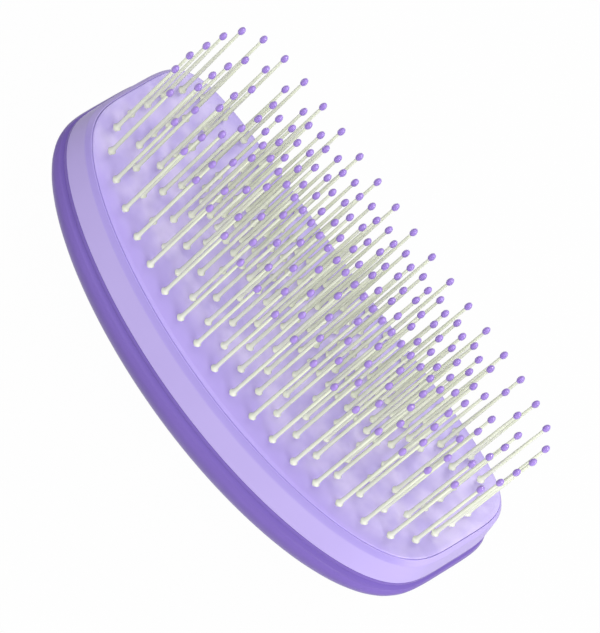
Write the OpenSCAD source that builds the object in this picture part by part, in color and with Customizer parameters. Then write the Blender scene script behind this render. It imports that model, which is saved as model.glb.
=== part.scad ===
// Palm detangling brush: a bowed two-part body holds a soft pad with nine rows of ball-tipped pins.
// The pins point up, X runs along the brush, and the origin is the middle of the rest face under the back.

/* [Body] */
// Length of the pad opening, along the brush
pad_l = 93; // [86:1:104]
// Width of the pad opening, across the brush
pad_w = 43.5; // [40:0.5:50]
// Fullness of the plan outline's long sides: 2 is an ellipse, more has blunter ends
fullness = 4.5; // [4:0.05:6]
// Radius of the lengthwise bow that lifts both ends
bow_r = 174; // [150:2:300]
// Height of the pad seam over the rest face, at mid length
body_h = 19; // [18:0.5:24]
// Depth of the flat that is cut into the dome of the back
rest_cut = 0.7; // [0.3:0.1:1]

/* [Front frame] */
// Height of the frame, from the pad seam down to the parting line
frame_h = 6.25; // [6:0.05:7.5]
// How far the frame's foot stands out from the pad opening
frame_flare = 1.45; // [1.3:0.05:2]
// How far the frame's shoulder stands out from the pad opening
shoulder_out = 0.8; // [0.7:0.05:1.2]
// Drop of the sloping lip, from the pad seam to the shoulder
shoulder_drop = 1.45; // [1.2:0.05:2]
// Radius of the rounding at the frame's shoulder
shoulder_r = 1; // [0.4:0.05:1.2]
// Depth of the lip's underside below the seam
lip_t = 1.3; // [1.1:0.1:1.6]
// Width of the wall's inner face, out from the pad opening
lip_reach = 0.25; // [0.2:0.05:0.35]

/* [Back shell] */
// How far the shell's side stands out from the pad opening
shell_flare = 2.1; // [1.8:0.05:2.8]
// Height of the shell's upright side below the parting line
side_h = 2.6; // [2.5:0.05:4]
// Height of the shadow groove round the side
groove_h = 0.6; // [0.4:0.05:0.8]
// Depth of the shadow groove round the side
groove_depth = 1.1; // [0.6:0.05:1.3]
// Thickness of the shell's domed wall
shell_wall = 1.8; // [1.4:0.1:2.4]
// Thickness of the tongue that stands up inside the frame
tongue_t = 1.3; // [1:0.1:1.6]
// Height of the snap bead on the tongue
bead_d = 0.2; // [0.1:0.05:0.25]
// Thickness of the ribs inside the back
rib_t = 1.4; // [1:0.1:2]
// Height of the ribs over the dome's inner wall, at mid length
rib_h = 3; // [2:0.25:4]
// Number of ribs across the back
rib_count = 5; // [3:2:7]

/* [Cushion pad] */
// Thickness of the pad
pad_t = 2; // [1.6:0.1:2.4]
// Rise of the pad's middle over its seam
crown = 1; // [0.5:0.1:1.8]
// Depth of the edge flange below the lip
flange_t = 2.1; // [1.9:0.1:2.5]
// Width of the edge flange, in from the pad opening
flange_w = 1.9; // [1.6:0.1:2.1]

/* [Clamp ring] */
// Thickness of the ring that presses the flange against the lip
clamp_t = 1.2; // [1:0.1:1.5]

/* [Pins] */
// Height of a ball's middle over the pad
pin_h = 19.5; // [14:0.5:24]
// Distance between pins along a row
pitch = 5; // [4.4:0.1:6.5]
// How many times closer the pins stand round the ends than along the sides
end_crowding = 1.15; // [1:0.05:1.3]
// Distance of the outermost pins from the pad seam
edge_inset = 3.3; // [3.2:0.05:4]
// Length of the denser middle stretch of rows 5 to 8
dense_l = 56; // [0:1:58]
// How far the extra pins of the denser stretch stand inwards of their row
dense_inset = 1; // [0:0.1:1.2]
// Diameter of the trumpet foot on the pad
foot_d = 1.5; // [1.4:0.05:1.8]
// Height of the trumpet foot
foot_h = 1.8; // [1:0.1:2.5]
// Diameter of the shaft above the foot
shaft_d = 0.78; // [0.6:0.02:0.95]
// Diameter of the shaft under the ball
shaft_tip_d = 0.52; // [0.46:0.02:0.58]
// Diameter of the neck through the pad
neck_d = 1; // [0.8:0.05:1.2]
// Diameter of the nail head under the pad
head_d = 1.9; // [1.5:0.05:2]
// Thickness of the nail head
head_t = 0.8; // [0.5:0.05:1]
// Lean of the pins at the two ends, outwards
end_lean = 1.8; // [0:0.1:3]
// Lean of the pins at the two long sides, outwards
side_lean = 0.85; // [0:0.05:1.5]

/* [Ball tips] */
// Diameter of a ball tip
ball_d = 1.2; // [1:0.05:1.5]
// Length of a ball tip along its pin
ball_l = 1.7; // [1.2:0.05:1.9]
// Diameter of the spigot inside the ball
spigot_d = 0.36; // [0.28:0.02:0.4]
// Length of the spigot inside the ball
spigot_l = 0.8; // [0.5:0.05:0.9]

/* [Hidden] */
$fn = 24;
// Points round each ring of a shell, and steps along a row of pins
segs = 64;
row_steps = 72;
// Degrees by which the points of an outline crowd towards its ends, where it turns fastest
corner_crowding = 17;
// Clearance between pieces that are pressed or snapped together
fit_gap = 0.05;
// Clearance between a pin's foot or head and the pad
seat_gap = 0.1;
// Overrun of a cutting tool past what it cuts
overrun = 1;
// Concentric rings of pins round the centre row, and the rows that they make
ring_count = 4;
row_count = 2 * ring_count + 1;
row_gap = (pad_w / 2 - edge_inset) / ring_count;
// Heights below the seam at which the stacked pieces meet
flange_top = lip_t + fit_gap;
flange_bottom = flange_top + flange_t;
clamp_top = flange_bottom + fit_gap;
clamp_bottom = clamp_top + clamp_t;
tongue_top = clamp_bottom + fit_gap;
parting = frame_h + fit_gap;
side_bottom = parting + side_h;
dome_h = body_h + rest_cut - side_bottom;
// Offsets from the pad opening of the faces that meet there
pad_edge = -fit_gap;
flange_out = lip_reach - fit_gap;
tongue_out = lip_reach - 2 * fit_gap;
tongue_in = tongue_out - tongue_t;
bead_drop = (tongue_top + parting) / 2;
bead_half = (parting - tongue_top) / 5;
side_in = shell_flare - shell_wall;
// Angles over the level of the frame's leaning wall and of its lip, and the rounding between the two
wall_angle = atan2(frame_h - shoulder_drop, frame_flare - shoulder_out);
lip_angle = atan2(shoulder_drop, shoulder_out);
shoulder_cut = shoulder_r * tan((wall_angle - lip_angle) / 2);
// Shares of the pad's half length and half width at which its surface has a ring, from the middle out
pad_shares = [0.18, 0.38, 0.56, 0.71, 0.83, 0.92, 0.975];
// Angles round the quarter turn of the back's dome
dome_angles = [12, 24, 36, 48, 60, 71, 81];
// Share by which a ball is fuller below its middle
egg_share = 0.15;
ball_steps = 8;
pin_colour = [0.91, 0.92, 0.84];
tip_colour = [0.69, 0.55, 0.93];

// Height gained by the bow at a distance from mid length
function bow(x) = bow_r - sqrt(bow_r * bow_r - x * x);
// A point of the plan outline with the given half length and half width
function plan_point(a, half_l, half_w) =
    let (t = a - corner_crowding * sin(2 * a))
    [half_l * cos(t), half_w * sign(sin(t)) * pow(abs(sin(t)), 2 / fullness)];
// A ring round the body: grown past the pad opening, dropped below the seam, then shrunk to a share
function ring(grow, drop, share = 1) = [
    for (i = [0 : segs - 1])
        let (p = plan_point(360 * i / segs, (pad_l / 2 + grow) * share, (pad_w / 2 + grow) * share))
        [p[0], p[1], body_h + bow(p[0]) - drop]];
// How far out a point lies: 0 in the middle and 1 on the pad seam
function outwardness(x, y) = pow(2 * x / pad_l, 2) + pow(abs(2 * y / pad_w), fullness);
// Height of the pad's top, crowned over the seam
function pad_top(x, y) = body_h + bow(x) + crown * (1 - pow(min(outwardness(x, y), 1), 2));
// A ring on the pad's top at a share of its size, or below the top
function pad_ring(share, drop) = [
    for (i = [0 : segs - 1])
        let (p = plan_point(360 * i / segs, (pad_l / 2 + pad_edge) * share, (pad_w / 2 + pad_edge) * share))
        [p[0], p[1], pad_top(p[0], p[1]) - drop]];
// Lift that keeps a round foot of radius r off the sloping pad
function seat_lift(x, r) = seat_gap + r * abs(x) / bow_r;

// Row k of nine runs along the front or rear half of a ring, and row 4 counted from 0 is the centre row
function ring_of(k) = min(k, row_count - 1 - k);
function row_path(k) =
    let (inset = edge_inset + ring_of(k) * row_gap, side = k > ring_count ? -1 : 1)
    [for (i = [0 : row_steps])
        let (p = plan_point(180 + 180 * i / row_steps, pad_l / 2 - inset, pad_w / 2 - inset))
        [p[0], side * p[1]]];
// Distance run along a path at each of its points, counted longer where it crosses the brush
function run_lengths(path) = [
    for (i = 0, run = 0; i < len(path); i = i + 1,
         run = run + (i < len(path) ?
             norm([path[i][0] - path[i - 1][0], end_crowding * (path[i][1] - path[i - 1][1])]) : 0)) run];
// Pins stand at whole steps on even rings and half steps on odd ones, so that neighbours are staggered
function row_places(k) =
    let (path = row_path(k),
         runs = run_lengths(path),
         steps = 2 * round(runs[row_steps] / pitch / 2),
         step = runs[row_steps] / steps,
         half = ring_of(k) % 2 / 2,
         skip = k > ring_count && half == 0 ? 1 : 0,
         x_of = [for (i = [0 : row_steps]) [runs[i], path[i][0]]],
         y_of = [for (i = [0 : row_steps]) [runs[i], path[i][1]]],
         row = [for (j = [skip : steps - skip - 2 * half])
             let (u = (j + half) * step) [lookup(u, x_of), lookup(u, y_of)]],
         between = [for (j = [0 : steps - 1 + 2 * half])
             let (u = (j + 0.5 - half) * step, y = lookup(u, y_of))
             [lookup(u, x_of), y - sign(y) * dense_inset]])
    k < ring_count || k == row_count - 1 ? row :
        concat(row, [for (p = between) if (abs(p[0]) < dense_l / 2) p]);

// Puts its children at a pin's foot, leaning as that pin does
module at_pin(p) {
    translate([p[0], p[1], pad_top(p[0], p[1]) + seat_lift(p[0], foot_d / 2)])
        rotate([-side_lean * p[1] / (pad_w / 2 - edge_inset), end_lean * p[0] / (pad_l / 2 - edge_inset), 0])
            children();
}

// Triangles between each ring and the next, with rings listed so that the outside goes downwards
function wall_faces(first, second) = [
    for (i = [0 : segs - 1])
        let (j = (i + 1) % segs)
        each [[first * segs + i, first * segs + j, second * segs + j],
              [first * segs + i, second * segs + j, second * segs + i]]];

// A solid whose rings close on themselves, such as a frame
module band(rings) {
    count = len(rings);
    polyhedron(
        points = [for (r = rings) each r],
        faces = [for (r = [0 : count - 1]) each wall_faces(r, (r + 1) % count)]);
}

// A solid whose first and last rings are closed by a cap round a middle point
module skin(rings, first_drop, last_drop) {
    count = len(rings);
    polyhedron(
        points = concat([for (r = rings) each r],
            [[0, 0, body_h - first_drop], [0, 0, body_h - last_drop]]),
        faces = concat(
            [for (i = [0 : segs - 1]) [count * segs, (i + 1) % segs, i]],
            [for (r = [0 : count - 2]) each wall_faces(r, r + 1)],
            [for (i = [0 : segs - 1])
                [(count - 1) * segs + i, (count - 1) * segs + (i + 1) % segs, count * segs + 1]]));
}

// Rings of a dome below the side, from its rim down, and any list of rings from its end back
function dome_rings(grow, height) = [
    for (a = dome_angles) ring(grow, side_bottom + height * sin(a), cos(a))];
function backwards(rings) = [for (i = [len(rings) - 1 : -1 : 0]) rings[i]];

// Ribs along and across the hollow of the back, sunk a little into its wall
module back_ribs() {
    rib_top = body_h - side_bottom - dome_h + shell_wall + rib_h;
    spacing = pad_l * 0.75 / rib_count;
    core_h = dome_h - shell_wall * 2 / 3;
    intersection() {
        skin(concat([ring(side_in, side_bottom)], dome_rings(side_in, core_h)),
            side_bottom, side_bottom + core_h);
        union() {
            for (i = [0 : rib_count - 1])
                translate([(i - (rib_count - 1) / 2) * spacing - rib_t / 2, -pad_w / 2, 0])
                    cube([rib_t, pad_w, rib_top + bow((i - (rib_count - 1) / 2) * spacing)]);
            translate([-pad_l / 2, -rib_t / 2, 0])
                cube([pad_l, rib_t, rib_top]);
        }
    }
}

module back_shell() {
    color([0.50, 0.40, 0.72]) difference() {
        union() {
            skin(concat(
                backwards(dome_rings(side_in, dome_h - shell_wall)),
                [ring(side_in, side_bottom),
                 ring(side_in, side_bottom - shell_wall / 2),
                 ring(tongue_in, parting),
                 ring(tongue_in, tongue_top),
                 ring(tongue_out, tongue_top),
                 ring(tongue_out, bead_drop - bead_half),
                 ring(tongue_out + bead_d, bead_drop),
                 ring(tongue_out, bead_drop + bead_half),
                 ring(tongue_out, parting),
                 ring(frame_flare, parting),
                 ring(frame_flare + fit_gap, parting + groove_h),
                 ring(shell_flare - groove_depth, parting + groove_h + groove_h / 2),
                 ring(shell_flare - groove_depth, parting + 2 * groove_h),
                 ring(shell_flare - groove_depth / 4, parting + 3 * groove_h),
                 ring(shell_flare, side_bottom)],
                dome_rings(shell_flare, dome_h)),
                side_bottom + dome_h - shell_wall, side_bottom + dome_h);
            back_ribs();
        }
        translate([-pad_l, -pad_w, -pad_w]) cube([2 * pad_l, 2 * pad_w, pad_w]);
    }
}

// A ring on the rounding of the frame's shoulder, at an angle over the level between its wall and its lip
function shoulder_ring(a) =
    ring(shoulder_out + shoulder_cut * cos(wall_angle) - shoulder_r * (sin(wall_angle) - sin(a)),
         shoulder_drop + shoulder_cut * sin(wall_angle) - shoulder_r * (cos(a) - cos(wall_angle)));

module front_frame() {
    color([0.77, 0.70, 0.94]) band([
        ring(0, fit_gap),
        shoulder_ring(lip_angle),
        shoulder_ring((lip_angle + wall_angle) / 2),
        shoulder_ring(wall_angle),
        ring(frame_flare, frame_h - fit_gap),
        ring(frame_flare - fit_gap, frame_h),
        ring(lip_reach, frame_h),
        ring(lip_reach, bead_drop + bead_half),
        ring(lip_reach + bead_d, bead_drop),
        ring(lip_reach, bead_drop - bead_half),
        ring(lip_reach, lip_t),
        ring(0, lip_t)]);
}

module cushion_pad() {
    color([0.76, 0.70, 0.91]) difference() {
        skin(concat(
            [for (s = pad_shares) pad_ring(s, 0)],
            [ring(pad_edge, fit_gap),
             ring(pad_edge, flange_top),
             ring(flange_out, flange_top),
             ring(flange_out, flange_bottom),
             ring(-flange_w, flange_bottom),
             ring(-flange_w - fit_gap, pad_t)],
            [for (i = [len(pad_shares) - 3 : -1 : 0])
                pad_ring(pad_shares[i], pad_t)]),
            -crown, pad_t - crown);
        for (k = [0 : row_count - 1])
            for (p = row_places(k))
                at_pin(p)
                    translate([0, 0, -pad_t - 2 * overrun])
                        cylinder(h = pad_t + 3 * overrun, d = neck_d + 2 * fit_gap);
    }
}

module clamp_ring() {
    color([0.88, 0.86, 0.93]) band([
        ring(-flange_w, clamp_top),
        ring(flange_out, clamp_top),
        ring(flange_out, clamp_bottom),
        ring(-flange_w, clamp_bottom)]);
}

// A pin in one turned piece, from the nail head under the pad to the spigot inside the ball
module pin(neck_l) {
    shaft_end = pin_h - ball_l / 2;
    rotate_extrude() polygon([
        [0, -neck_l - head_t],
        [head_d / 2 - head_t / 4, -neck_l - head_t],
        [head_d / 2, -neck_l - head_t * 3 / 4],
        [head_d / 2, -neck_l],
        [neck_d / 2, -neck_l],
        [neck_d / 2, 0],
        [foot_d / 2, 0],
        [foot_d / 2, foot_h / 6],
        [(foot_d + shaft_d) / 4, foot_h / 2],
        [shaft_d / 2, foot_h],
        [shaft_tip_d / 2, shaft_end],
        [spigot_d / 2, shaft_end],
        [spigot_d / 2, shaft_end + spigot_l],
        [0, shaft_end + spigot_l]]);
}

module pins_row(k) {
    color(pin_colour)
        for (p = row_places(k))
            at_pin(p) pin(pad_t + seat_lift(p[0], foot_d / 2) + seat_lift(p[0], head_d / 2));
}

// A ball tip, fuller towards its pin, with a blind bore for the spigot
module ball_tip() {
    low = asin(-0.94);
    bore_r = spigot_d / 2 + fit_gap / 2;
    rotate_extrude() polygon(concat(
        [[0, spigot_l - ball_l / 2 + fit_gap], [bore_r, spigot_l - ball_l / 2 + fit_gap],
         [bore_r, fit_gap - ball_l / 2]],
        [for (i = [0 : ball_steps])
            let (a = low + (90 - low) * i / ball_steps)
            [ball_d / 2 * cos(a) * (1 - egg_share * sin(a)),
             i == 0 ? fit_gap - ball_l / 2 : ball_l / 2 * sin(a)]]));
}

module tips_row(k) {
    color(tip_colour)
        for (p = row_places(k))
            at_pin(p) translate([0, 0, pin_h]) ball_tip();
}

back_shell();
front_frame();
cushion_pad();
clamp_ring();
pins_row(0);  // pins_row_1
pins_row(1);  // pins_row_2
pins_row(2);  // pins_row_3
pins_row(3);  // pins_row_4
pins_row(4);  // pins_row_5
pins_row(5);  // pins_row_6
pins_row(6);  // pins_row_7
pins_row(7);  // pins_row_8
pins_row(8);  // pins_row_9
tips_row(0);  // tips_row_1
tips_row(1);  // tips_row_2
tips_row(2);  // tips_row_3
tips_row(3);  // tips_row_4
tips_row(4);  // tips_row_5
tips_row(5);  // tips_row_6
tips_row(6);  // tips_row_7
tips_row(7);  // tips_row_8
tips_row(8);  // tips_row_9
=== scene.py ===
# Palm detangling brush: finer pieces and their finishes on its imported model, in a pale studio
import math

import bpy
from mathutils import Matrix, Vector
from mathutils.kdtree import KDTree


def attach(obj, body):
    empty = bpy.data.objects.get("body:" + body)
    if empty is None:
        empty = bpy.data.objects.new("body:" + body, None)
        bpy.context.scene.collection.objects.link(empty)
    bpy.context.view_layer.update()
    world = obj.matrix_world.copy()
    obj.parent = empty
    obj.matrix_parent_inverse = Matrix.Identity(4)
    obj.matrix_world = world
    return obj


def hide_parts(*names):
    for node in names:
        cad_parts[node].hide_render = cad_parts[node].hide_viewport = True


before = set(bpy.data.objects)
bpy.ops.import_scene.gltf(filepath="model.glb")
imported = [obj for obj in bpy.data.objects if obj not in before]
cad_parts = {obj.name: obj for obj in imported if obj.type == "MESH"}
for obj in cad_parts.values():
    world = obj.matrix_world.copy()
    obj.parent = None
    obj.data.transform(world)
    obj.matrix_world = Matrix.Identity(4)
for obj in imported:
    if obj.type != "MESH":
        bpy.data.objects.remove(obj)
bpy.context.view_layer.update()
mm = 0.001
print("packed model loaded")

# the camera, fitted to the pins' feet and tips and to the pad's edge
camera = {
    "right": (0.58493, 0.61393, 0.53005),  # the picture's own directions in the brush's frame
    "down": (0.80579, -0.36528, -0.46613),
    "aim": (0.15, 2.53, 22.15),  # what the picture's middle looks at, in mm
    "distance": 2398.1,
    "lens": 819.1,  # long lens from far off: the photograph is nearly parallel
    "sensor": 36,
    "reach": 50,  # in metres
}


def makeCamera(sizes):
    right, down = Vector(sizes["right"]).normalized(), Vector(sizes["down"])
    forward = right.cross(down).normalized()
    down = forward.cross(right)
    spot = (Vector(sizes["aim"]) - forward * sizes["distance"]) * mm
    lens = bpy.data.cameras.new("photoCamera")
    lens.lens = sizes["lens"]
    lens.sensor_width = sizes["sensor"]
    lens.clip_end = sizes["reach"]
    holder = bpy.data.objects.new("photoCamera", lens)
    bpy.context.collection.objects.link(holder)
    turn = Matrix((right, -down, -forward)).transposed()
    holder.matrix_world = Matrix.Translation(spot) @ turn.to_4x4()
    bpy.context.scene.camera = holder


makeCamera(camera)

# the body's shared outline and bow, as in the part's source, in mm
body = {
    "padLength": 93.0,
    "padWidth": 43.5,
    "fullness": 4.5,  # blunter ends than an ellipse's 2
    "cornerCrowding": 17.0,  # degrees by which outline points crowd towards the ends
    "bowRadius": 174.0,
    "seamHeight": 19.0,
    "crown": 1.0,  # the pad's middle over its seam
    "seamGap": 0.05,  # the pad ends this far inside the seam
    "pointsRound": 288,
    "fineSteps": 20000,  # for dividing the outline into equal lengths
    "roundSteps": 6,  # steps in each rounded corner of a profile
    "roundReach": 0.48,  # the most of a straight that one rounding takes
    "spacing": 0.45,  # between the points of a profile's straights
    "sharpAngle": 50,  # degrees from which an edge is shaded sharp
}
padEnd, padSide = body["padLength"] / 2, body["padWidth"] / 2


def bowLift(x):
    return body["bowRadius"] - math.sqrt(body["bowRadius"] ** 2 - x * x)


def planPoint(angle, halfLength, halfWidth):
    t = angle - math.radians(body["cornerCrowding"]) * math.sin(2 * angle)
    side = math.copysign(abs(math.sin(t)) ** (2 / body["fullness"]), math.sin(t))
    return halfLength * math.cos(t), halfWidth * side


def evenAngles(count):
    # angles that divide the pad's outline into equal lengths
    steps = body["fineSteps"]
    fine = [planPoint(math.tau * i / steps, padEnd, padSide) for i in range(steps + 1)]
    runs = [0.0]
    for a, b in zip(fine, fine[1:]):
        runs.append(runs[-1] + math.dist(a, b))
    angles, i = [], 0
    for step in range(count):
        wanted = runs[-1] * step / count
        while runs[i + 1] < wanted:
            i += 1
        angles.append(math.tau * (i + (wanted - runs[i]) / (runs[i + 1] - runs[i])) / steps)
    return angles


roundAngles = evenAngles(body["pointsRound"])


def ring(grow, drop, share=1.0):
    # the outline, grown outwards, dropped under the seam and drawn in to a share of itself
    points = []
    for angle in roundAngles:
        x, y = planPoint(angle, (padEnd + grow) * share, (padSide + grow) * share)
        points.append(Vector((x, y, body["seamHeight"] + bowLift(x) - drop)))
    return points


def outwardness(x, y):
    # 0 in the pad's middle, 1 on its seam
    return (2 * x / body["padLength"]) ** 2 + abs(2 * y / body["padWidth"]) ** body["fullness"]


def padTop(x, y):
    return body["seamHeight"] + bowLift(x) + body["crown"] * (1 - min(outwardness(x, y), 1.0) ** 2)


def padRing(share, drop):
    # a ring on the pad's crowned top, or under it
    flat = ring(-body["seamGap"] * share, 0, share)
    return [Vector((p.x, p.y, padTop(p.x, p.y) - drop)) for p in flat]


def softened(corners, closed):
    # corners are (grow, drop, radius): each is rounded, and long straights are divided for even shading
    count, steps, reach = len(corners), body["roundSteps"], body["roundReach"]
    path = []
    for i, (grow, drop, radius) in enumerate(corners):
        here = Vector((grow, drop))
        if radius == 0 or (not closed and i in (0, count - 1)):
            path.append(here)
            continue
        toBefore = Vector(corners[i - 1][:2]) - here
        toAfter = Vector(corners[(i + 1) % count][:2]) - here
        half = toBefore.angle(toAfter) / 2
        cut = min(radius / math.tan(half), reach * toBefore.length, reach * toAfter.length)
        start, end = here + toBefore.normalized() * cut, here + toAfter.normalized() * cut
        for k in range(steps + 1):
            t = k / steps
            path.append(start * (1 - t) ** 2 + here * 2 * t * (1 - t) + end * t * t)
    dense = []
    pairs = list(zip(path, path[1:] + path[:1]))
    for a, b in pairs if closed else pairs[:-1]:
        parts = max(1, round((b - a).length / body["spacing"]))
        dense += [a.lerp(b, k / parts) for k in range(parts)]
    if not closed:
        dense.append(path[-1])
    return dense


def meshPiece(name, points, faces, material):
    mesh = bpy.data.meshes.new(name)
    mesh.from_pydata([Vector(p) * mm for p in points], [], faces)
    mesh.materials.append(material)
    mesh.validate()
    mesh.shade_smooth()
    mesh.set_sharp_from_angle(angle=math.radians(body["sharpAngle"]))
    piece = bpy.data.objects.new(name, mesh)
    bpy.context.collection.objects.link(piece)
    return piece


def loft(name, rings, material, middles=None):
    # rings run so that the outside goes downwards; middles close an open loft at its first and last ring
    size, count = len(rings[0]), len(rings)
    points = [p for r in rings for p in r]
    faces = []
    for r in range(count if middles is None else count - 1):
        a, b = r * size, ((r + 1) % count) * size
        faces += [(a + i, b + i, b + (i + 1) % size, a + (i + 1) % size) for i in range(size)]
    if middles is not None:
        points += middles
        first, last = count * size, count * size + 1
        faces += [(first, i, (i + 1) % size) for i in range(size)]
        end = (count - 1) * size
        faces += [(last, end + (i + 1) % size, end + i) for i in range(size)]
    return meshPiece(name, points, faces, material)


# nodes and colours
mixA, mixB, mixOut = 6, 7, 2  # the numbers of a Mix node's colour sockets


def linear(code):
    # sRGB hex to linear, with alpha
    parts = [int(code[i : i + 2], 16) / 255 for i in (1, 3, 5)]
    return tuple(p / 12.92 if p <= 0.04045 else ((p + 0.055) / 1.055) ** 2.4 for p in parts) + (1.0,)


def addNode(tree, kind, inputs=None, **settings):
    # an input is a plain value, a socket, or a node, of which the first output is linked
    node = tree.nodes.new(kind)
    for key, value in settings.items():
        setattr(node, key, value)
    for key, value in (inputs or {}).items():
        if isinstance(value, bpy.types.Node):
            value = value.outputs[0]
        if isinstance(value, bpy.types.NodeSocket):
            tree.links.new(value, node.inputs[key])
        else:
            node.inputs[key].default_value = value
    return node


def newMaterial(name):
    material = bpy.data.materials.new(name)
    material.use_nodes = True
    tree = material.node_tree
    tree.nodes.clear()
    where = addNode(tree, "ShaderNodeTexCoord").outputs["Object"]
    return material, tree, where


def closeMaterial(tree, sockets):
    shader = addNode(tree, "ShaderNodeBsdfPrincipled", sockets)
    addNode(tree, "ShaderNodeOutputMaterial", {"Surface": shader})


def mouldedPlastic(name, finish):
    # injection moulding: a faint ripple in the reflections, flow marks too weak to see as colour,
    # and painted shade: a darker tone on the up-facing surfaces along the two long sides
    material, tree, where = newMaterial(name)
    ripple = addNode(tree, "ShaderNodeTexNoise", {
        "Vector": where,
        "Scale": 1 / (finish["ripple"] * mm),
        "Detail": 2.0,
    })
    cloud = addNode(tree, "ShaderNodeTexNoise", {
        "Vector": where,
        "Scale": 1 / (finish["cloud"] * mm),
        "Detail": 1.0,
    })
    tones = {0: cloud, mixA: linear(finish["deep"]), mixB: linear(finish["pale"])}
    colour = addNode(tree, "ShaderNodeMix", tones, data_type="RGBA").outputs[mixOut]
    facing = addNode(tree, "ShaderNodeSeparateXYZ", {
        0: addNode(tree, "ShaderNodeNewGeometry").outputs["Normal"],
    }).outputs
    upper = addNode(tree, "ShaderNodeMapRange", {
        "Value": facing["Z"],
        "From Min": 0.05,
        "From Max": 0.7,
    }, interpolation_type="SMOOTHSTEP")
    sideways = addNode(tree, "ShaderNodeMapRange", {
        "Value": addNode(tree, "ShaderNodeMath", {0: facing["Y"]}, operation="ABSOLUTE"),
        "From Min": 0.3,
        "From Max": 0.85,
    }, interpolation_type="SMOOTHSTEP")
    # painted shade: the darker lip tone takes over where the surface faces up and towards the long sides
    paintedShadeShare = addNode(tree, "ShaderNodeMath", {0: upper, 1: sideways}, operation="MULTIPLY")
    tones = {0: paintedShadeShare, mixA: colour, mixB: linear(finish["lip"])}
    paintedShadeColour = addNode(tree, "ShaderNodeMix", tones, data_type="RGBA").outputs[mixOut]
    handled = addNode(tree, "ShaderNodeMapRange", {
        "Value": cloud,
        "To Min": finish["smoothest"],
        "To Max": finish["roughest"],
    })
    bump = addNode(tree, "ShaderNodeBump", {
        "Height": ripple,
        "Strength": 0.25,
        "Distance": finish["relief"] * mm,
    })
    closeMaterial(tree, {
        "Base Color": paintedShadeColour,
        "Roughness": handled,
        "Normal": bump,
        "IOR": 1.54,
        "Specular IOR Level": finish["gloss"],
    })
    return material


# dark lavender ABS, gloss moulded: a deep even colour that mirrors the studio softly
shellFinish = {
    "deep": "#7761AF",
    "pale": "#856FC0",
    "lip": "#7761AF",
    "smoothest": 0.255,
    "roughest": 0.36,
    "gloss": 0.12,
    "ripple": 1.6,
    "cloud": 18.0,
    "relief": 0.02,
}
shellPlastic = mouldedPlastic("gloss moulded ABS, dark lavender", shellFinish)

# lilac ABS of the frame: paler, and softer in its gloss than the shell
frameFinish = {
    "deep": "#BBABE6",
    "pale": "#C3B4EC",
    # painted shade: the darker tone laid on up-facing surfaces along the long sides
    "lip": "#9F8FD5",
    "smoothest": 0.357,
    "roughest": 0.504,
    "gloss": 0.12,
    "ripple": 1.8,
    "cloud": 16.0,
    "relief": 0.02,
}
framePlastic = mouldedPlastic("gloss moulded ABS, lilac", frameFinish)

# natural polypropylene of the hidden clamp ring: milky and dull
clampFinish = {
    "deep": "#DCD8E6",
    "pale": "#E6E2EE",
    "lip": "#DCD8E6",
    "smoothest": 0.3825,
    "roughest": 0.54,
    "gloss": 0.4,
    "ripple": 0.8,
    "cloud": 9.0,
    "relief": 0.03,
}
clampPlastic = mouldedPlastic("moulded polypropylene, milky", clampFinish)


def softRubber(name, finish):
    # injection-moulded thermoplastic rubber: satin skin, light that enters a little way, faint mottling,
    # painted shade along the sides
    material, tree, where = newMaterial(name)
    mottle = addNode(tree, "ShaderNodeTexNoise", {
        "Vector": where,
        "Scale": 1 / (finish["mottle"] * mm),
        "Detail": 2.0,
        "Roughness": 0.4,
    })
    grain = addNode(tree, "ShaderNodeTexNoise", {
        "Vector": where,
        "Scale": 1 / (finish["grain"] * mm),
        "Detail": 3.0,
    })
    spread = addNode(tree, "ShaderNodeMapRange", {"Value": mottle, "From Min": 0.35, "From Max": 0.65})
    tones = {0: spread, mixA: linear(finish["deep"]), mixB: linear(finish["pale"])}
    middle = addNode(tree, "ShaderNodeMix", tones, data_type="RGBA").outputs[mixOut]
    across = addNode(tree, "ShaderNodeMath", {
        0: addNode(tree, "ShaderNodeSeparateXYZ", {0: where}).outputs["Y"],
        1: padSide * mm,
    }, operation="DIVIDE")
    # painted shade: darker towards the two long sides
    sideShade = addNode(tree, "ShaderNodeMapRange", {
        "Value": addNode(tree, "ShaderNodeMath", {0: across}, operation="ABSOLUTE"),
        "From Min": finish["sideShadeStart"],
        "From Max": finish["sideShadeFull"],
    }, interpolation_type="SMOOTHSTEP")
    tones = {0: sideShade, mixA: middle, mixB: linear(finish["rim"])}
    colour = addNode(tree, "ShaderNodeMix", tones, data_type="RGBA").outputs[mixOut]
    bump = addNode(tree, "ShaderNodeBump", {
        "Height": grain,
        "Strength": 0.3,
        "Distance": finish["relief"] * mm,
    })
    closeMaterial(tree, {
        "Base Color": colour,
        "Roughness": finish["rough"],
        "Normal": bump,
        "IOR": 1.5,
        "Subsurface Weight": finish["depth"],
        "Subsurface Radius": (1.0, 0.8, 1.1),
        "Subsurface Scale": 0.8 * mm,
        "Sheen Weight": 0.1,
    })
    return material


padFinish = {
    "deep": "#B9AAE6",
    "pale": "#D2C5F3",
    "rim": "#B09EE4",  # painted shade: darker along the long sides, towards the seam
    "sideShadeStart": 0.5,  # shares of the half width
    "sideShadeFull": 0.9,
    "rough": 0.5,
    "depth": 0.15,
    "mottle": 4.5,
    "grain": 0.35,  # coarser than the real grain, which is too fine to show
    "relief": 0.02,
}
padRubber = softRubber("satin thermoplastic rubber, lilac", padFinish)


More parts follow.
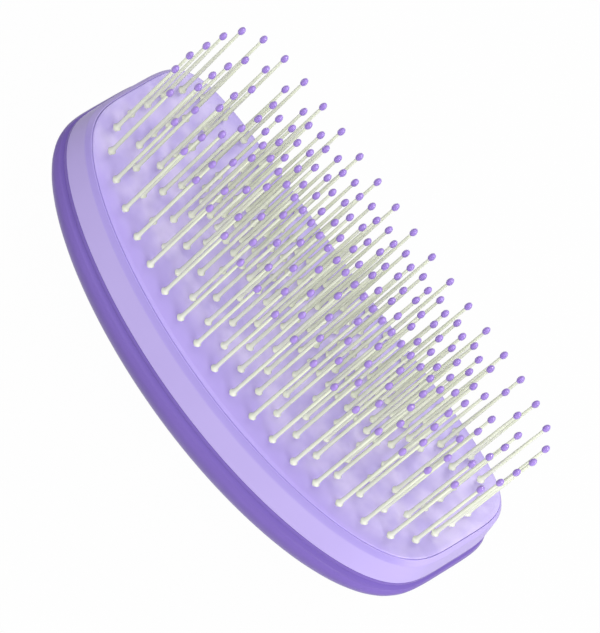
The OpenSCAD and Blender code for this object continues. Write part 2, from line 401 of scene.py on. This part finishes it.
def clearNylon(name, finish):
    # drawn nylon bristle stock: cream, lets a little light in, and smooth enough for a fine bright line
    material, tree, where = newMaterial(name)
    draw = addNode(tree, "ShaderNodeTexNoise", {
        "Vector": where,
        "Scale": 1 / (finish["cloud"] * mm),
        "Detail": 1.0,
    })
    tones = {0: draw, mixA: linear(finish["deep"]), mixB: linear(finish["pale"])}
    closeMaterial(tree, {
        "Base Color": addNode(tree, "ShaderNodeMix", tones, data_type="RGBA").outputs[mixOut],
        "Roughness": finish["rough"],
        "IOR": 1.53,
        "Transmission Weight": finish["clear"],
        "Subsurface Weight": finish["depth"],
        "Subsurface Radius": (1.0, 1.0, 0.8),
        "Subsurface Scale": 0.3 * mm,
        "Coat Weight": 0.6,
        "Coat Roughness": 0.1,
    })
    return material


nylonFinish = {
    "deep": "#DAE0C7",
    "pale": "#E8EBD9",
    "rough": 0.2,
    "clear": 0.03,
    "depth": 0.06,
    "cloud": 12.0,
}
pinNylon = clearNylon("half-clear drawn nylon, cream", nylonFinish)


def dippedResin(name, finish):
    # ball ends dipped in coloured resin: a wet-looking clear skin over an even violet
    material, tree, where = newMaterial(name)
    pool = addNode(tree, "ShaderNodeTexNoise", {
        "Vector": where,
        "Scale": 1 / (finish["pool"] * mm),
        "Detail": 1.0,
    })
    tones = {0: pool, mixA: linear(finish["deep"]), mixB: linear(finish["pale"])}
    closeMaterial(tree, {
        "Base Color": addNode(tree, "ShaderNodeMix", tones, data_type="RGBA").outputs[mixOut],
        "Roughness": finish["rough"],
        "IOR": 1.5,
        "Coat Weight": 0.8,
        "Coat Roughness": 0.05,
    })
    return material


ballFinish = {"deep": "#9273CC", "pale": "#AC8DE2", "rough": 0.3, "pool": 1.1}
ballResin = dippedResin("dipped resin, violet", ballFinish)
print("finishes mixed")

# the back shell: hollow dome, shadow groove, tongue inside the frame
shell = {
    # out from the pad's seam
    "tongueIn": -1.15,
    "tongueOut": 0.15,
    "bandOut": 1.43,  # the narrow band between the frame and the groove
    "bandBottomOut": 1.48,
    "grooveOut": 1.0,
    "hipOut": 1.82,  # the side's rounded upper edge
    "sideOut": 2.1,
    # down from the seam
    "tongueTop": 4.75,
    "parting": 6.3,
    "bandBottom": 6.87,
    "grooveTop": 7.17,
    "grooveBottom": 7.56,
    "innerTop": 8.0,  # where the wall's inner side begins
    "hip": 8.1,
    "sideBottom": 8.9,
    # of the corners between them, in the profile's order
    "roundings": (0, 0.3, 0.3, 0.15, 0.15, 0.05, 0.1, 0.16, 0.12, 0.15, 0.35, 0),
    "wall": 1.8,
    "domeHeight": 10.8,
    "domeSteps": 22,
}


def domeRings(grow, height, steps, bottom):
    rings = []
    for i in range(1, steps):
        a = math.radians(90) * i / steps
        rings.append(ring(grow, bottom + height * math.sin(a), math.cos(a)))
    return rings


def makeShell(sizes):
    inside = sizes["sideOut"] - sizes["wall"]
    places = [
        (inside, sizes["sideBottom"]),
        (inside, sizes["innerTop"]),
        (sizes["tongueIn"], sizes["parting"]),
        (sizes["tongueIn"], sizes["tongueTop"]),
        (sizes["tongueOut"], sizes["tongueTop"]),
        (sizes["tongueOut"], sizes["parting"]),
        (sizes["bandOut"], sizes["parting"]),
        (sizes["bandBottomOut"], sizes["bandBottom"]),
        (sizes["grooveOut"], sizes["grooveTop"]),
        (sizes["grooveOut"], sizes["grooveBottom"]),
        (sizes["hipOut"], sizes["hip"]),
        (sizes["sideOut"], sizes["sideBottom"]),
    ]
    corners = [(g, d, r) for (g, d), r in zip(places, sizes["roundings"])]
    height, steps, bottom = sizes["domeHeight"], sizes["domeSteps"], sizes["sideBottom"]
    inner = domeRings(inside, height - sizes["wall"], steps, bottom)
    outer = domeRings(sizes["sideOut"], height, steps, bottom)
    rings = inner[::-1] + [ring(g, d) for g, d in softened(corners, False)] + outer
    for r in rings:
        for p in r:
            p.z = max(p.z, 0.0)  # the small rest flat under the dome
    innerFloor = body["seamHeight"] - bottom - height + sizes["wall"]
    return loft("backShell", rings, shellPlastic, [Vector((0, 0, innerFloor)), Vector((0, 0, 0))])


backShell = makeShell(shell)
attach(backShell, "root")
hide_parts("back_shell")
print("back shell made")

# the front frame: a lip that falls away from the pad, and an upright wall
rim = {
    "edgeDrop": 0.03,  # the lip's edge beside the pad, down from the seam
    "lip": 1.3,  # its underside, over the pad's flange
    "shoulderOut": 0.8,  # where the lip turns into the wall
    "shoulderDrop": 1.45,
    "footOut": 1.45,
    "height": 6.25,
    "inner": 0.25,
    "roundings": (0.35, 1.2, 0.15, 0.05, 0.0, 0.1),
}


def makeFrame(sizes):
    places = [
        (0.0, sizes["edgeDrop"]),
        (sizes["shoulderOut"], sizes["shoulderDrop"]),
        (sizes["footOut"], sizes["height"]),
        (sizes["inner"], sizes["height"]),
        (sizes["inner"], sizes["lip"]),
        (0.0, sizes["lip"]),
    ]
    corners = [(g, d, r) for (g, d), r in zip(places, sizes["roundings"])]
    return loft("frontFrame", [ring(g, d) for g, d in softened(corners, True)], framePlastic)


frontFrame = makeFrame(rim)
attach(frontFrame, "root")
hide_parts("front_frame")
print("front frame made")

# where the pins stand, worked out as in the part's source
pinPlaces = {
    "pitch": 5.0,
    "endCrowding": 1.15,  # pins stand closer round the ends
    "edgeInset": 3.3,
    "denseLength": 56.0,  # rows 5 to 8 are doubled here
    "denseInset": 1.0,
    "rings": 4,
    "pathSteps": 72,
    "endLean": 1.8,  # degrees, at the pins nearest the ends and sides
    "sideLean": 0.85,
    "footRadius": 0.75,
    "seatGap": 0.1,
}


def rowPlaces(row, sizes):
    rings, last = sizes["rings"], 2 * sizes["rings"]
    ringIndex = min(row, last - row)
    inset = sizes["edgeInset"] + ringIndex * (padSide - sizes["edgeInset"]) / rings
    side = -1 if row > rings else 1
    path = []
    for i in range(sizes["pathSteps"] + 1):
        x, y = planPoint(math.pi * (1 + i / sizes["pathSteps"]), padEnd - inset, padSide - inset)
        path.append((x, side * y))
    runs = [0.0]
    for a, b in zip(path, path[1:]):
        runs.append(runs[-1] + math.hypot(b[0] - a[0], sizes["endCrowding"] * (b[1] - a[1])))
    steps = 2 * round(runs[-1] / sizes["pitch"] / 2)
    step, half = runs[-1] / steps, (ringIndex % 2) / 2
    skip = 1 if row > rings and half == 0 else 0

    def placeAt(number):
        u = min(number * step, runs[-1])
        i = max(k for k in range(len(runs) - 1) if runs[k] <= u)
        t = (u - runs[i]) / (runs[i + 1] - runs[i])
        return [path[i][k] + (path[i + 1][k] - path[i][k]) * t for k in (0, 1)]

    places = [placeAt(j + half) for j in range(skip, int(steps - skip - 2 * half) + 1)]
    if rings <= row < last:
        for j in range(int(steps + 2 * half)):
            x, y = placeAt(j + 0.5 - half)
            if abs(x) < sizes["denseLength"] / 2:
                places.append((x, y - (y > 0) * sizes["denseInset"] + (y < 0) * sizes["denseInset"]))
    feet = []
    for x, y in places:
        lift = sizes["seatGap"] + sizes["footRadius"] * abs(x) / body["bowRadius"]
        feet.append(Vector((x, y, padTop(x, y) + lift)))
    return feet


rows = [rowPlaces(row, pinPlaces) for row in range(2 * pinPlaces["rings"] + 1)]
print("pins per row:", [len(r) for r in rows])

# the cushion pad: crowned, rolled at the seam, drawn down a little round every foot
pad = {
    "thickness": 2.0,
    "flangeOut": 0.2,
    "flangeIn": 1.9,
    "flangeTop": 1.35,
    "flangeBottom": 3.45,
    "edgeRoll": 0.3,  # width, rise and fall of the rolled edge
    "edgeLift": 0.02,
    "edgeDrop": 0.08,
    "underEdge": 0.1,  # the flange's inner side leans in by this
    "roundings": (0, 0.35, 0.05, 0.1, 0.1, 0.2, 0),
    "topRings": 64,
    "ringCrowding": 1.15,  # the rings stand closer towards the edge
    "lastTopRing": 0.985,  # shares of the whole outline
    "underRings": (0.83, 0.71, 0.56, 0.38, 0.18),
    "dimpleReach": 2.3,
    "dimpleDepth": 0.22,
}


def makePad(sizes):
    feet = KDTree(sum(len(r) for r in rows))
    for i, p in enumerate(p for r in rows for p in r):
        feet.insert((p.x, p.y, 0), i)
    feet.balance()
    count = sizes["topRings"]
    shares = [1 - (1 - i / count) ** sizes["ringCrowding"] for i in range(1, count)]
    rings = [padRing(s, 0) for s in shares if s < sizes["lastTopRing"]]
    for r in rings:
        for p in r:
            gap = feet.find((p.x, p.y, 0))[2] / sizes["dimpleReach"]
            if gap < 1:
                p.z -= sizes["dimpleDepth"] * (1 - gap * gap) ** 2
    edge = -body["seamGap"]
    places = [
        (edge - sizes["edgeRoll"], -sizes["edgeLift"]),
        (edge, sizes["edgeDrop"]),
        (edge, sizes["flangeTop"]),
        (sizes["flangeOut"], sizes["flangeTop"]),
        (sizes["flangeOut"], sizes["flangeBottom"]),
        (-sizes["flangeIn"], sizes["flangeBottom"]),
        (-sizes["flangeIn"] - sizes["underEdge"], sizes["thickness"]),
    ]
    corners = [(g, d, r) for (g, d), r in zip(places, sizes["roundings"])]
    rings += [ring(g, d) for g, d in softened(corners, False)]
    rings += [padRing(s, sizes["thickness"]) for s in sizes["underRings"]]
    top = padTop(0, 0)
    middles = [Vector((0, 0, top)), Vector((0, 0, top - sizes["thickness"]))]
    return loft("cushionPad", rings, padRubber, middles)


cushionPad = makePad(pad)
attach(cushionPad, "root")
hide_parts("cushion_pad")
print("cushion pad made")

# the clamp ring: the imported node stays, in its own finish
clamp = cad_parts["clamp_ring"]
clamp.data.materials.clear()
clamp.data.materials.append(clampPlastic)
print("clamp ring finished")

# pins and ball tips: one turned shape, grown on every foot of a row
pin = {
    "sides": 12,
    "profile": [  # (height over the foot, radius) in mm
        (-3.05, 0.0), (-3.05, 0.75), (-2.25, 0.95),  # nail head
        (-2.25, 0.5), (0.0, 0.5),  # neck through the pad
        (0.0, 0.73), (0.12, 0.75), (0.22, 0.7), (0.4, 0.57), (0.65, 0.48), (1.1, 0.42),  # trumpet foot
        (1.9, 0.385), (10.0, 0.33), (18.7, 0.26),  # tapering shaft
        (18.7, 0.18), (19.4, 0.18), (19.45, 0.12), (19.45, 0.0),  # spigot inside the ball
    ],
}
tip = {
    "sides": 12,
    "middle": 19.42,  # height of its middle over the foot
    "length": 1.86,
    "radius": 0.6,
    "egg": 0.12,  # fuller towards its pin
    "rings": 9,
}
lean = {
    "End Lean": math.radians(pinPlaces["endLean"]),
    "Side Lean": math.radians(pinPlaces["sideLean"]),
    "Half Length": (padEnd - pinPlaces["edgeInset"]) * mm,
    "Half Width": (padSide - pinPlaces["edgeInset"]) * mm,
}
weldGap = 0.002  # mm, closes a turned shape's seam and poles


def ballProfile(sizes):
    profile, last = [], sizes["rings"] - 1
    for i in range(sizes["rings"]):
        a = math.pi * (i / last - 0.5)
        wide = sizes["radius"] * math.cos(a) * (1 - sizes["egg"] * math.sin(a))
        height = sizes["middle"] + sizes["length"] / 2 * math.sin(a)
        profile.append((height, wide if 0 < i < last else 0.0))
    return profile


def curvePoints(node, heights):
    curve = node.mapping.curves[0]
    while len(curve.points) < len(heights):
        curve.points.new(0.5, 0.5)
    for i, value in enumerate(heights):
        curve.points[i].location = (i / (len(heights) - 1), value)
        curve.points[i].handle_type = "VECTOR"
    node.mapping.update()


def turnedTree(name, profile, sides):
    # profile is (height, radius) from the lowest point up; a grid bent round its axis is set on every foot
    low, high = min(h for h, r in profile), max(h for h, r in profile)
    widest = max(r for h, r in profile)
    tree = bpy.data.node_groups.new(name, "GeometryNodeTree")
    tree.interface.new_socket("Geometry", in_out="OUTPUT", socket_type="NodeSocketGeometry")
    tree.interface.new_socket("Feet", in_out="INPUT", socket_type="NodeSocketGeometry")
    numbers = {"Sides": sides, "Bottom": low * mm, "Top": high * mm, "Widest Radius": widest * mm, **lean}
    for label, value in numbers.items():
        kind = "NodeSocketInt" if label == "Sides" else "NodeSocketFloat"
        socket = tree.interface.new_socket(label, in_out="INPUT", socket_type=kind)
        socket.default_value = value
    tree.interface.new_socket("Material", in_out="INPUT", socket_type="NodeSocketMaterial")
    given = addNode(tree, "NodeGroupInput").outputs

    # the grid's columns go round the axis, and its rows follow the profile
    grid = addNode(tree, "GeometryNodeMeshGrid", {
        "Size X": 1.0,
        "Size Y": 1.0,
        "Vertices X": addNode(tree, "ShaderNodeMath", {0: given["Sides"], 1: 1.0}, operation="ADD"),
        "Vertices Y": len(profile),
    })
    place = addNode(tree, "ShaderNodeSeparateXYZ", {0: addNode(tree, "GeometryNodeInputPosition")}).outputs
    around = addNode(tree, "ShaderNodeMath", {0: place["X"], 1: math.tau}, operation="MULTIPLY")
    along = addNode(tree, "ShaderNodeMath", {0: place["Y"], 1: 0.5}, operation="ADD")
    radiusShare = addNode(tree, "ShaderNodeFloatCurve", {"Value": along})
    curvePoints(radiusShare, [r / widest for h, r in profile])
    heightShare = addNode(tree, "ShaderNodeFloatCurve", {"Value": along})
    curvePoints(heightShare, [(h - low) / (high - low) for h, r in profile])
    radius = addNode(tree, "ShaderNodeMath", {
        0: radiusShare,
        1: given["Widest Radius"],
    }, operation="MULTIPLY")
    height = addNode(tree, "ShaderNodeMapRange", {
        "Value": heightShare,
        "To Min": given["Bottom"],
        "To Max": given["Top"],
    })
    cosine = addNode(tree, "ShaderNodeMath", {0: around}, operation="COSINE")
    sine = addNode(tree, "ShaderNodeMath", {0: around}, operation="SINE")
    turned = addNode(tree, "ShaderNodeCombineXYZ", {
        "X": addNode(tree, "ShaderNodeMath", {0: cosine, 1: radius}, operation="MULTIPLY"),
        "Y": addNode(tree, "ShaderNodeMath", {0: sine, 1: radius}, operation="MULTIPLY"),
        "Z": height,
    })
    bent = addNode(tree, "GeometryNodeSetPosition", {"Geometry": grid, "Position": turned})
    shape = addNode(tree, "GeometryNodeMergeByDistance", {"Geometry": bent, "Distance": weldGap * mm})
    smooth = addNode(tree, "GeometryNodeSetShadeSmooth", {"Geometry": shape})

    # each one leans outwards by its foot's share of the way to the ends and sides
    foot = addNode(tree, "ShaderNodeSeparateXYZ", {0: addNode(tree, "GeometryNodeInputPosition")}).outputs
    endShare = addNode(tree, "ShaderNodeMath", {0: foot["X"], 1: given["Half Length"]}, operation="DIVIDE")
    sideShare = addNode(tree, "ShaderNodeMath", {0: foot["Y"], 1: given["Half Width"]}, operation="DIVIDE")
    endTurn = addNode(tree, "ShaderNodeMath", {0: endShare, 1: given["End Lean"]}, operation="MULTIPLY")
    sideTurn = addNode(tree, "ShaderNodeMath", {0: sideShare, 1: given["Side Lean"]}, operation="MULTIPLY")
    sideBack = addNode(tree, "ShaderNodeMath", {0: sideTurn, 1: -1.0}, operation="MULTIPLY")
    angles = addNode(tree, "ShaderNodeCombineXYZ", {"X": sideBack, "Y": endTurn})
    stand = addNode(tree, "GeometryNodeInstanceOnPoints", {
        "Points": addNode(tree, "GeometryNodeMeshToPoints", {"Mesh": given["Feet"]}),
        "Instance": smooth,
        "Rotation": addNode(tree, "FunctionNodeEulerToRotation", {0: angles}),
    })
    real = addNode(tree, "GeometryNodeRealizeInstances", {"Geometry": stand})
    dressed = addNode(tree, "GeometryNodeSetMaterial", {"Geometry": real, "Material": given["Material"]})
    addNode(tree, "NodeGroupOutput", {0: dressed})
    return tree


def growRow(name, feet, tree, values):
    points = bpy.data.meshes.new(name + "Feet")
    points.from_pydata([p * mm for p in feet], [], [])
    holder = bpy.data.objects.new(name + "Feet", points)
    bpy.context.collection.objects.link(holder)
    modifier = holder.modifiers.new("Grow", "NODES")
    modifier.node_group = tree
    for socket in tree.interface.items_tree:
        if socket.name in values:
            modifier[socket.identifier] = values[socket.name]
    seen = holder.evaluated_get(bpy.context.evaluated_depsgraph_get())
    mesh = bpy.data.meshes.new_from_object(seen)
    mesh.name = name
    mesh.set_sharp_from_angle(angle=math.radians(body["sharpAngle"]))
    piece = bpy.data.objects.new(name, mesh)
    bpy.context.collection.objects.link(piece)
    bpy.data.objects.remove(holder)
    return piece


pinTree = turnedTree("turnedPin", pin["profile"], pin["sides"])
tipTree = turnedTree("dippedTip", ballProfile(tip), tip["sides"])
for number, feet in enumerate(rows, 1):
    pins = growRow(f"pinRow{number}", feet, pinTree, {**lean, "Sides": pin["sides"], "Material": pinNylon})
    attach(pins, "root")
    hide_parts(f"pins_row_{number}")
    tips = growRow(f"tipRow{number}", feet, tipTree, {**lean, "Sides": tip["sides"], "Material": ballResin})
    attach(tips, "root")
    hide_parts(f"tips_row_{number}")
print("pins and tips grown")

# the studio: sizes and places in mm, powers in watts
studio = {
    "lamps": {
        # small, far off and on the camera's own line, so the pins' cast shadows hide behind them
        "keySoftbox": {"place": (223, -1676, 1722), "size": 24, "power": 30.0},
        # large and low off the near end, and close over it, so that end is the lighter one
        "nearSoftbox": {"place": (520, -170, 190), "size": 260, "power": 1.1},
        "topSoftbox": {"place": (190, -90, 270), "size": 220, "power": 0.13},
        # the far side, which the photograph's side doesn't show
        "backSoftbox": {"place": (-60, 540, 350), "size": 300, "power": 1.3},
    },
    "lampAim": (0, 0, 20),
    "skyTowards": (0.86, -0.12, 0.49),  # the room is lightest this way
    "skyHigh": 0.52,
    "skyLow": 0.12,
    "bounces": 10,  # light passed on between the pale pins
}
card = {
    "deep": "#C4C4C4",
    "pale": "#CECECE",
    "fibresPerMetre": 900.0,
    "whiteShare": 0.98,  # of its own light where the camera or a mirror sees it, the rest keeps the shadow
    "halfSize": 4000,
    "drop": 0.3,  # under the brush, in mm as the half size
}


def makeLamp(name, sizes):
    lamp = bpy.data.lights.new(name, "AREA")
    lamp.shape = "DISK"
    lamp.size = sizes["size"] * mm
    lamp.energy = sizes["power"]
    holder = bpy.data.objects.new(name, lamp)
    bpy.context.collection.objects.link(holder)
    spot = Vector(sizes["place"]) * mm
    holder.location = spot
    holder.rotation_euler = (spot - Vector(studio["lampAim"]) * mm).to_track_quat("Z", "Y").to_euler()


for name, sizes in studio["lamps"].items():
    makeLamp(name, sizes)


def seenShare(tree):
    # 1 where a thing is seen by the camera, in a mirror or through a clear piece, and 0 where it lights
    path = addNode(tree, "ShaderNodeLightPath").outputs
    direct = {0: path["Is Camera Ray"], 1: path["Is Glossy Ray"]}
    seen = addNode(tree, "ShaderNodeMath", direct, operation="MAXIMUM")
    through = {0: seen, 1: path["Is Transmission Ray"]}
    return addNode(tree, "ShaderNodeMath", through, operation="MAXIMUM")


def makeFloor(sizes):
    # pale card: it keeps the shadow, and its own light lifts it towards white where it is seen or mirrored
    material, tree, where = newMaterial("matt white card")
    fibre = addNode(tree, "ShaderNodeTexNoise", {"Vector": where, "Scale": sizes["fibresPerMetre"]})
    tones = {0: fibre, mixA: linear(sizes["deep"]), mixB: linear(sizes["pale"])}
    tone = addNode(tree, "ShaderNodeMix", tones, data_type="RGBA").outputs[mixOut]
    white = {0: seenShare(tree), 1: sizes["whiteShare"]}
    blend = addNode(tree, "ShaderNodeMixShader", {
        0: addNode(tree, "ShaderNodeMath", white, operation="MULTIPLY"),
        1: addNode(tree, "ShaderNodeBsdfDiffuse", {"Color": tone}),
        2: addNode(tree, "ShaderNodeEmission", {"Strength": 1.0}),
    })
    addNode(tree, "ShaderNodeOutputMaterial", {"Surface": blend})
    half = sizes["halfSize"]
    corners = [(x * half, y * half, -sizes["drop"]) for x, y in ((-1, -1), (1, -1), (1, 1), (-1, 1))]
    mesh = bpy.data.meshes.new("floor")
    mesh.from_pydata([Vector(p) * mm for p in corners], [], [(0, 1, 2, 3)])
    mesh.materials.append(material)
    floor = bpy.data.objects.new("floor", mesh)
    bpy.context.collection.objects.link(floor)


def makeWorld(sizes):
    # white where it is seen, and otherwise a soft room that is lighter towards the near end
    world = bpy.data.worlds.new("paleStudio")
    world.use_nodes = True
    tree = world.node_tree
    tree.nodes.clear()
    ways = {0: addNode(tree, "ShaderNodeTexCoord").outputs["Generated"], 1: sizes["skyTowards"]}
    room = addNode(tree, "ShaderNodeMapRange", {
        "Value": addNode(tree, "ShaderNodeVectorMath", ways, operation="DOT_PRODUCT").outputs["Value"],
        "From Min": -1.0,
        "To Min": sizes["skyLow"],
        "To Max": sizes["skyHigh"],
    })
    strength = addNode(tree, "ShaderNodeMapRange", {"Value": seenShare(tree), "To Min": room, "To Max": 1.0})
    sky = addNode(tree, "ShaderNodeBackground", {"Color": (1, 1, 1, 1), "Strength": strength})
    addNode(tree, "ShaderNodeOutputWorld", {"Surface": sky})
    bpy.context.scene.world = world


makeFloor(card)
makeWorld(studio)
bpy.context.scene.cycles.diffuse_bounces = studio["bounces"]
bpy.context.scene.view_settings.view_transform = "Standard"
print("studio set")
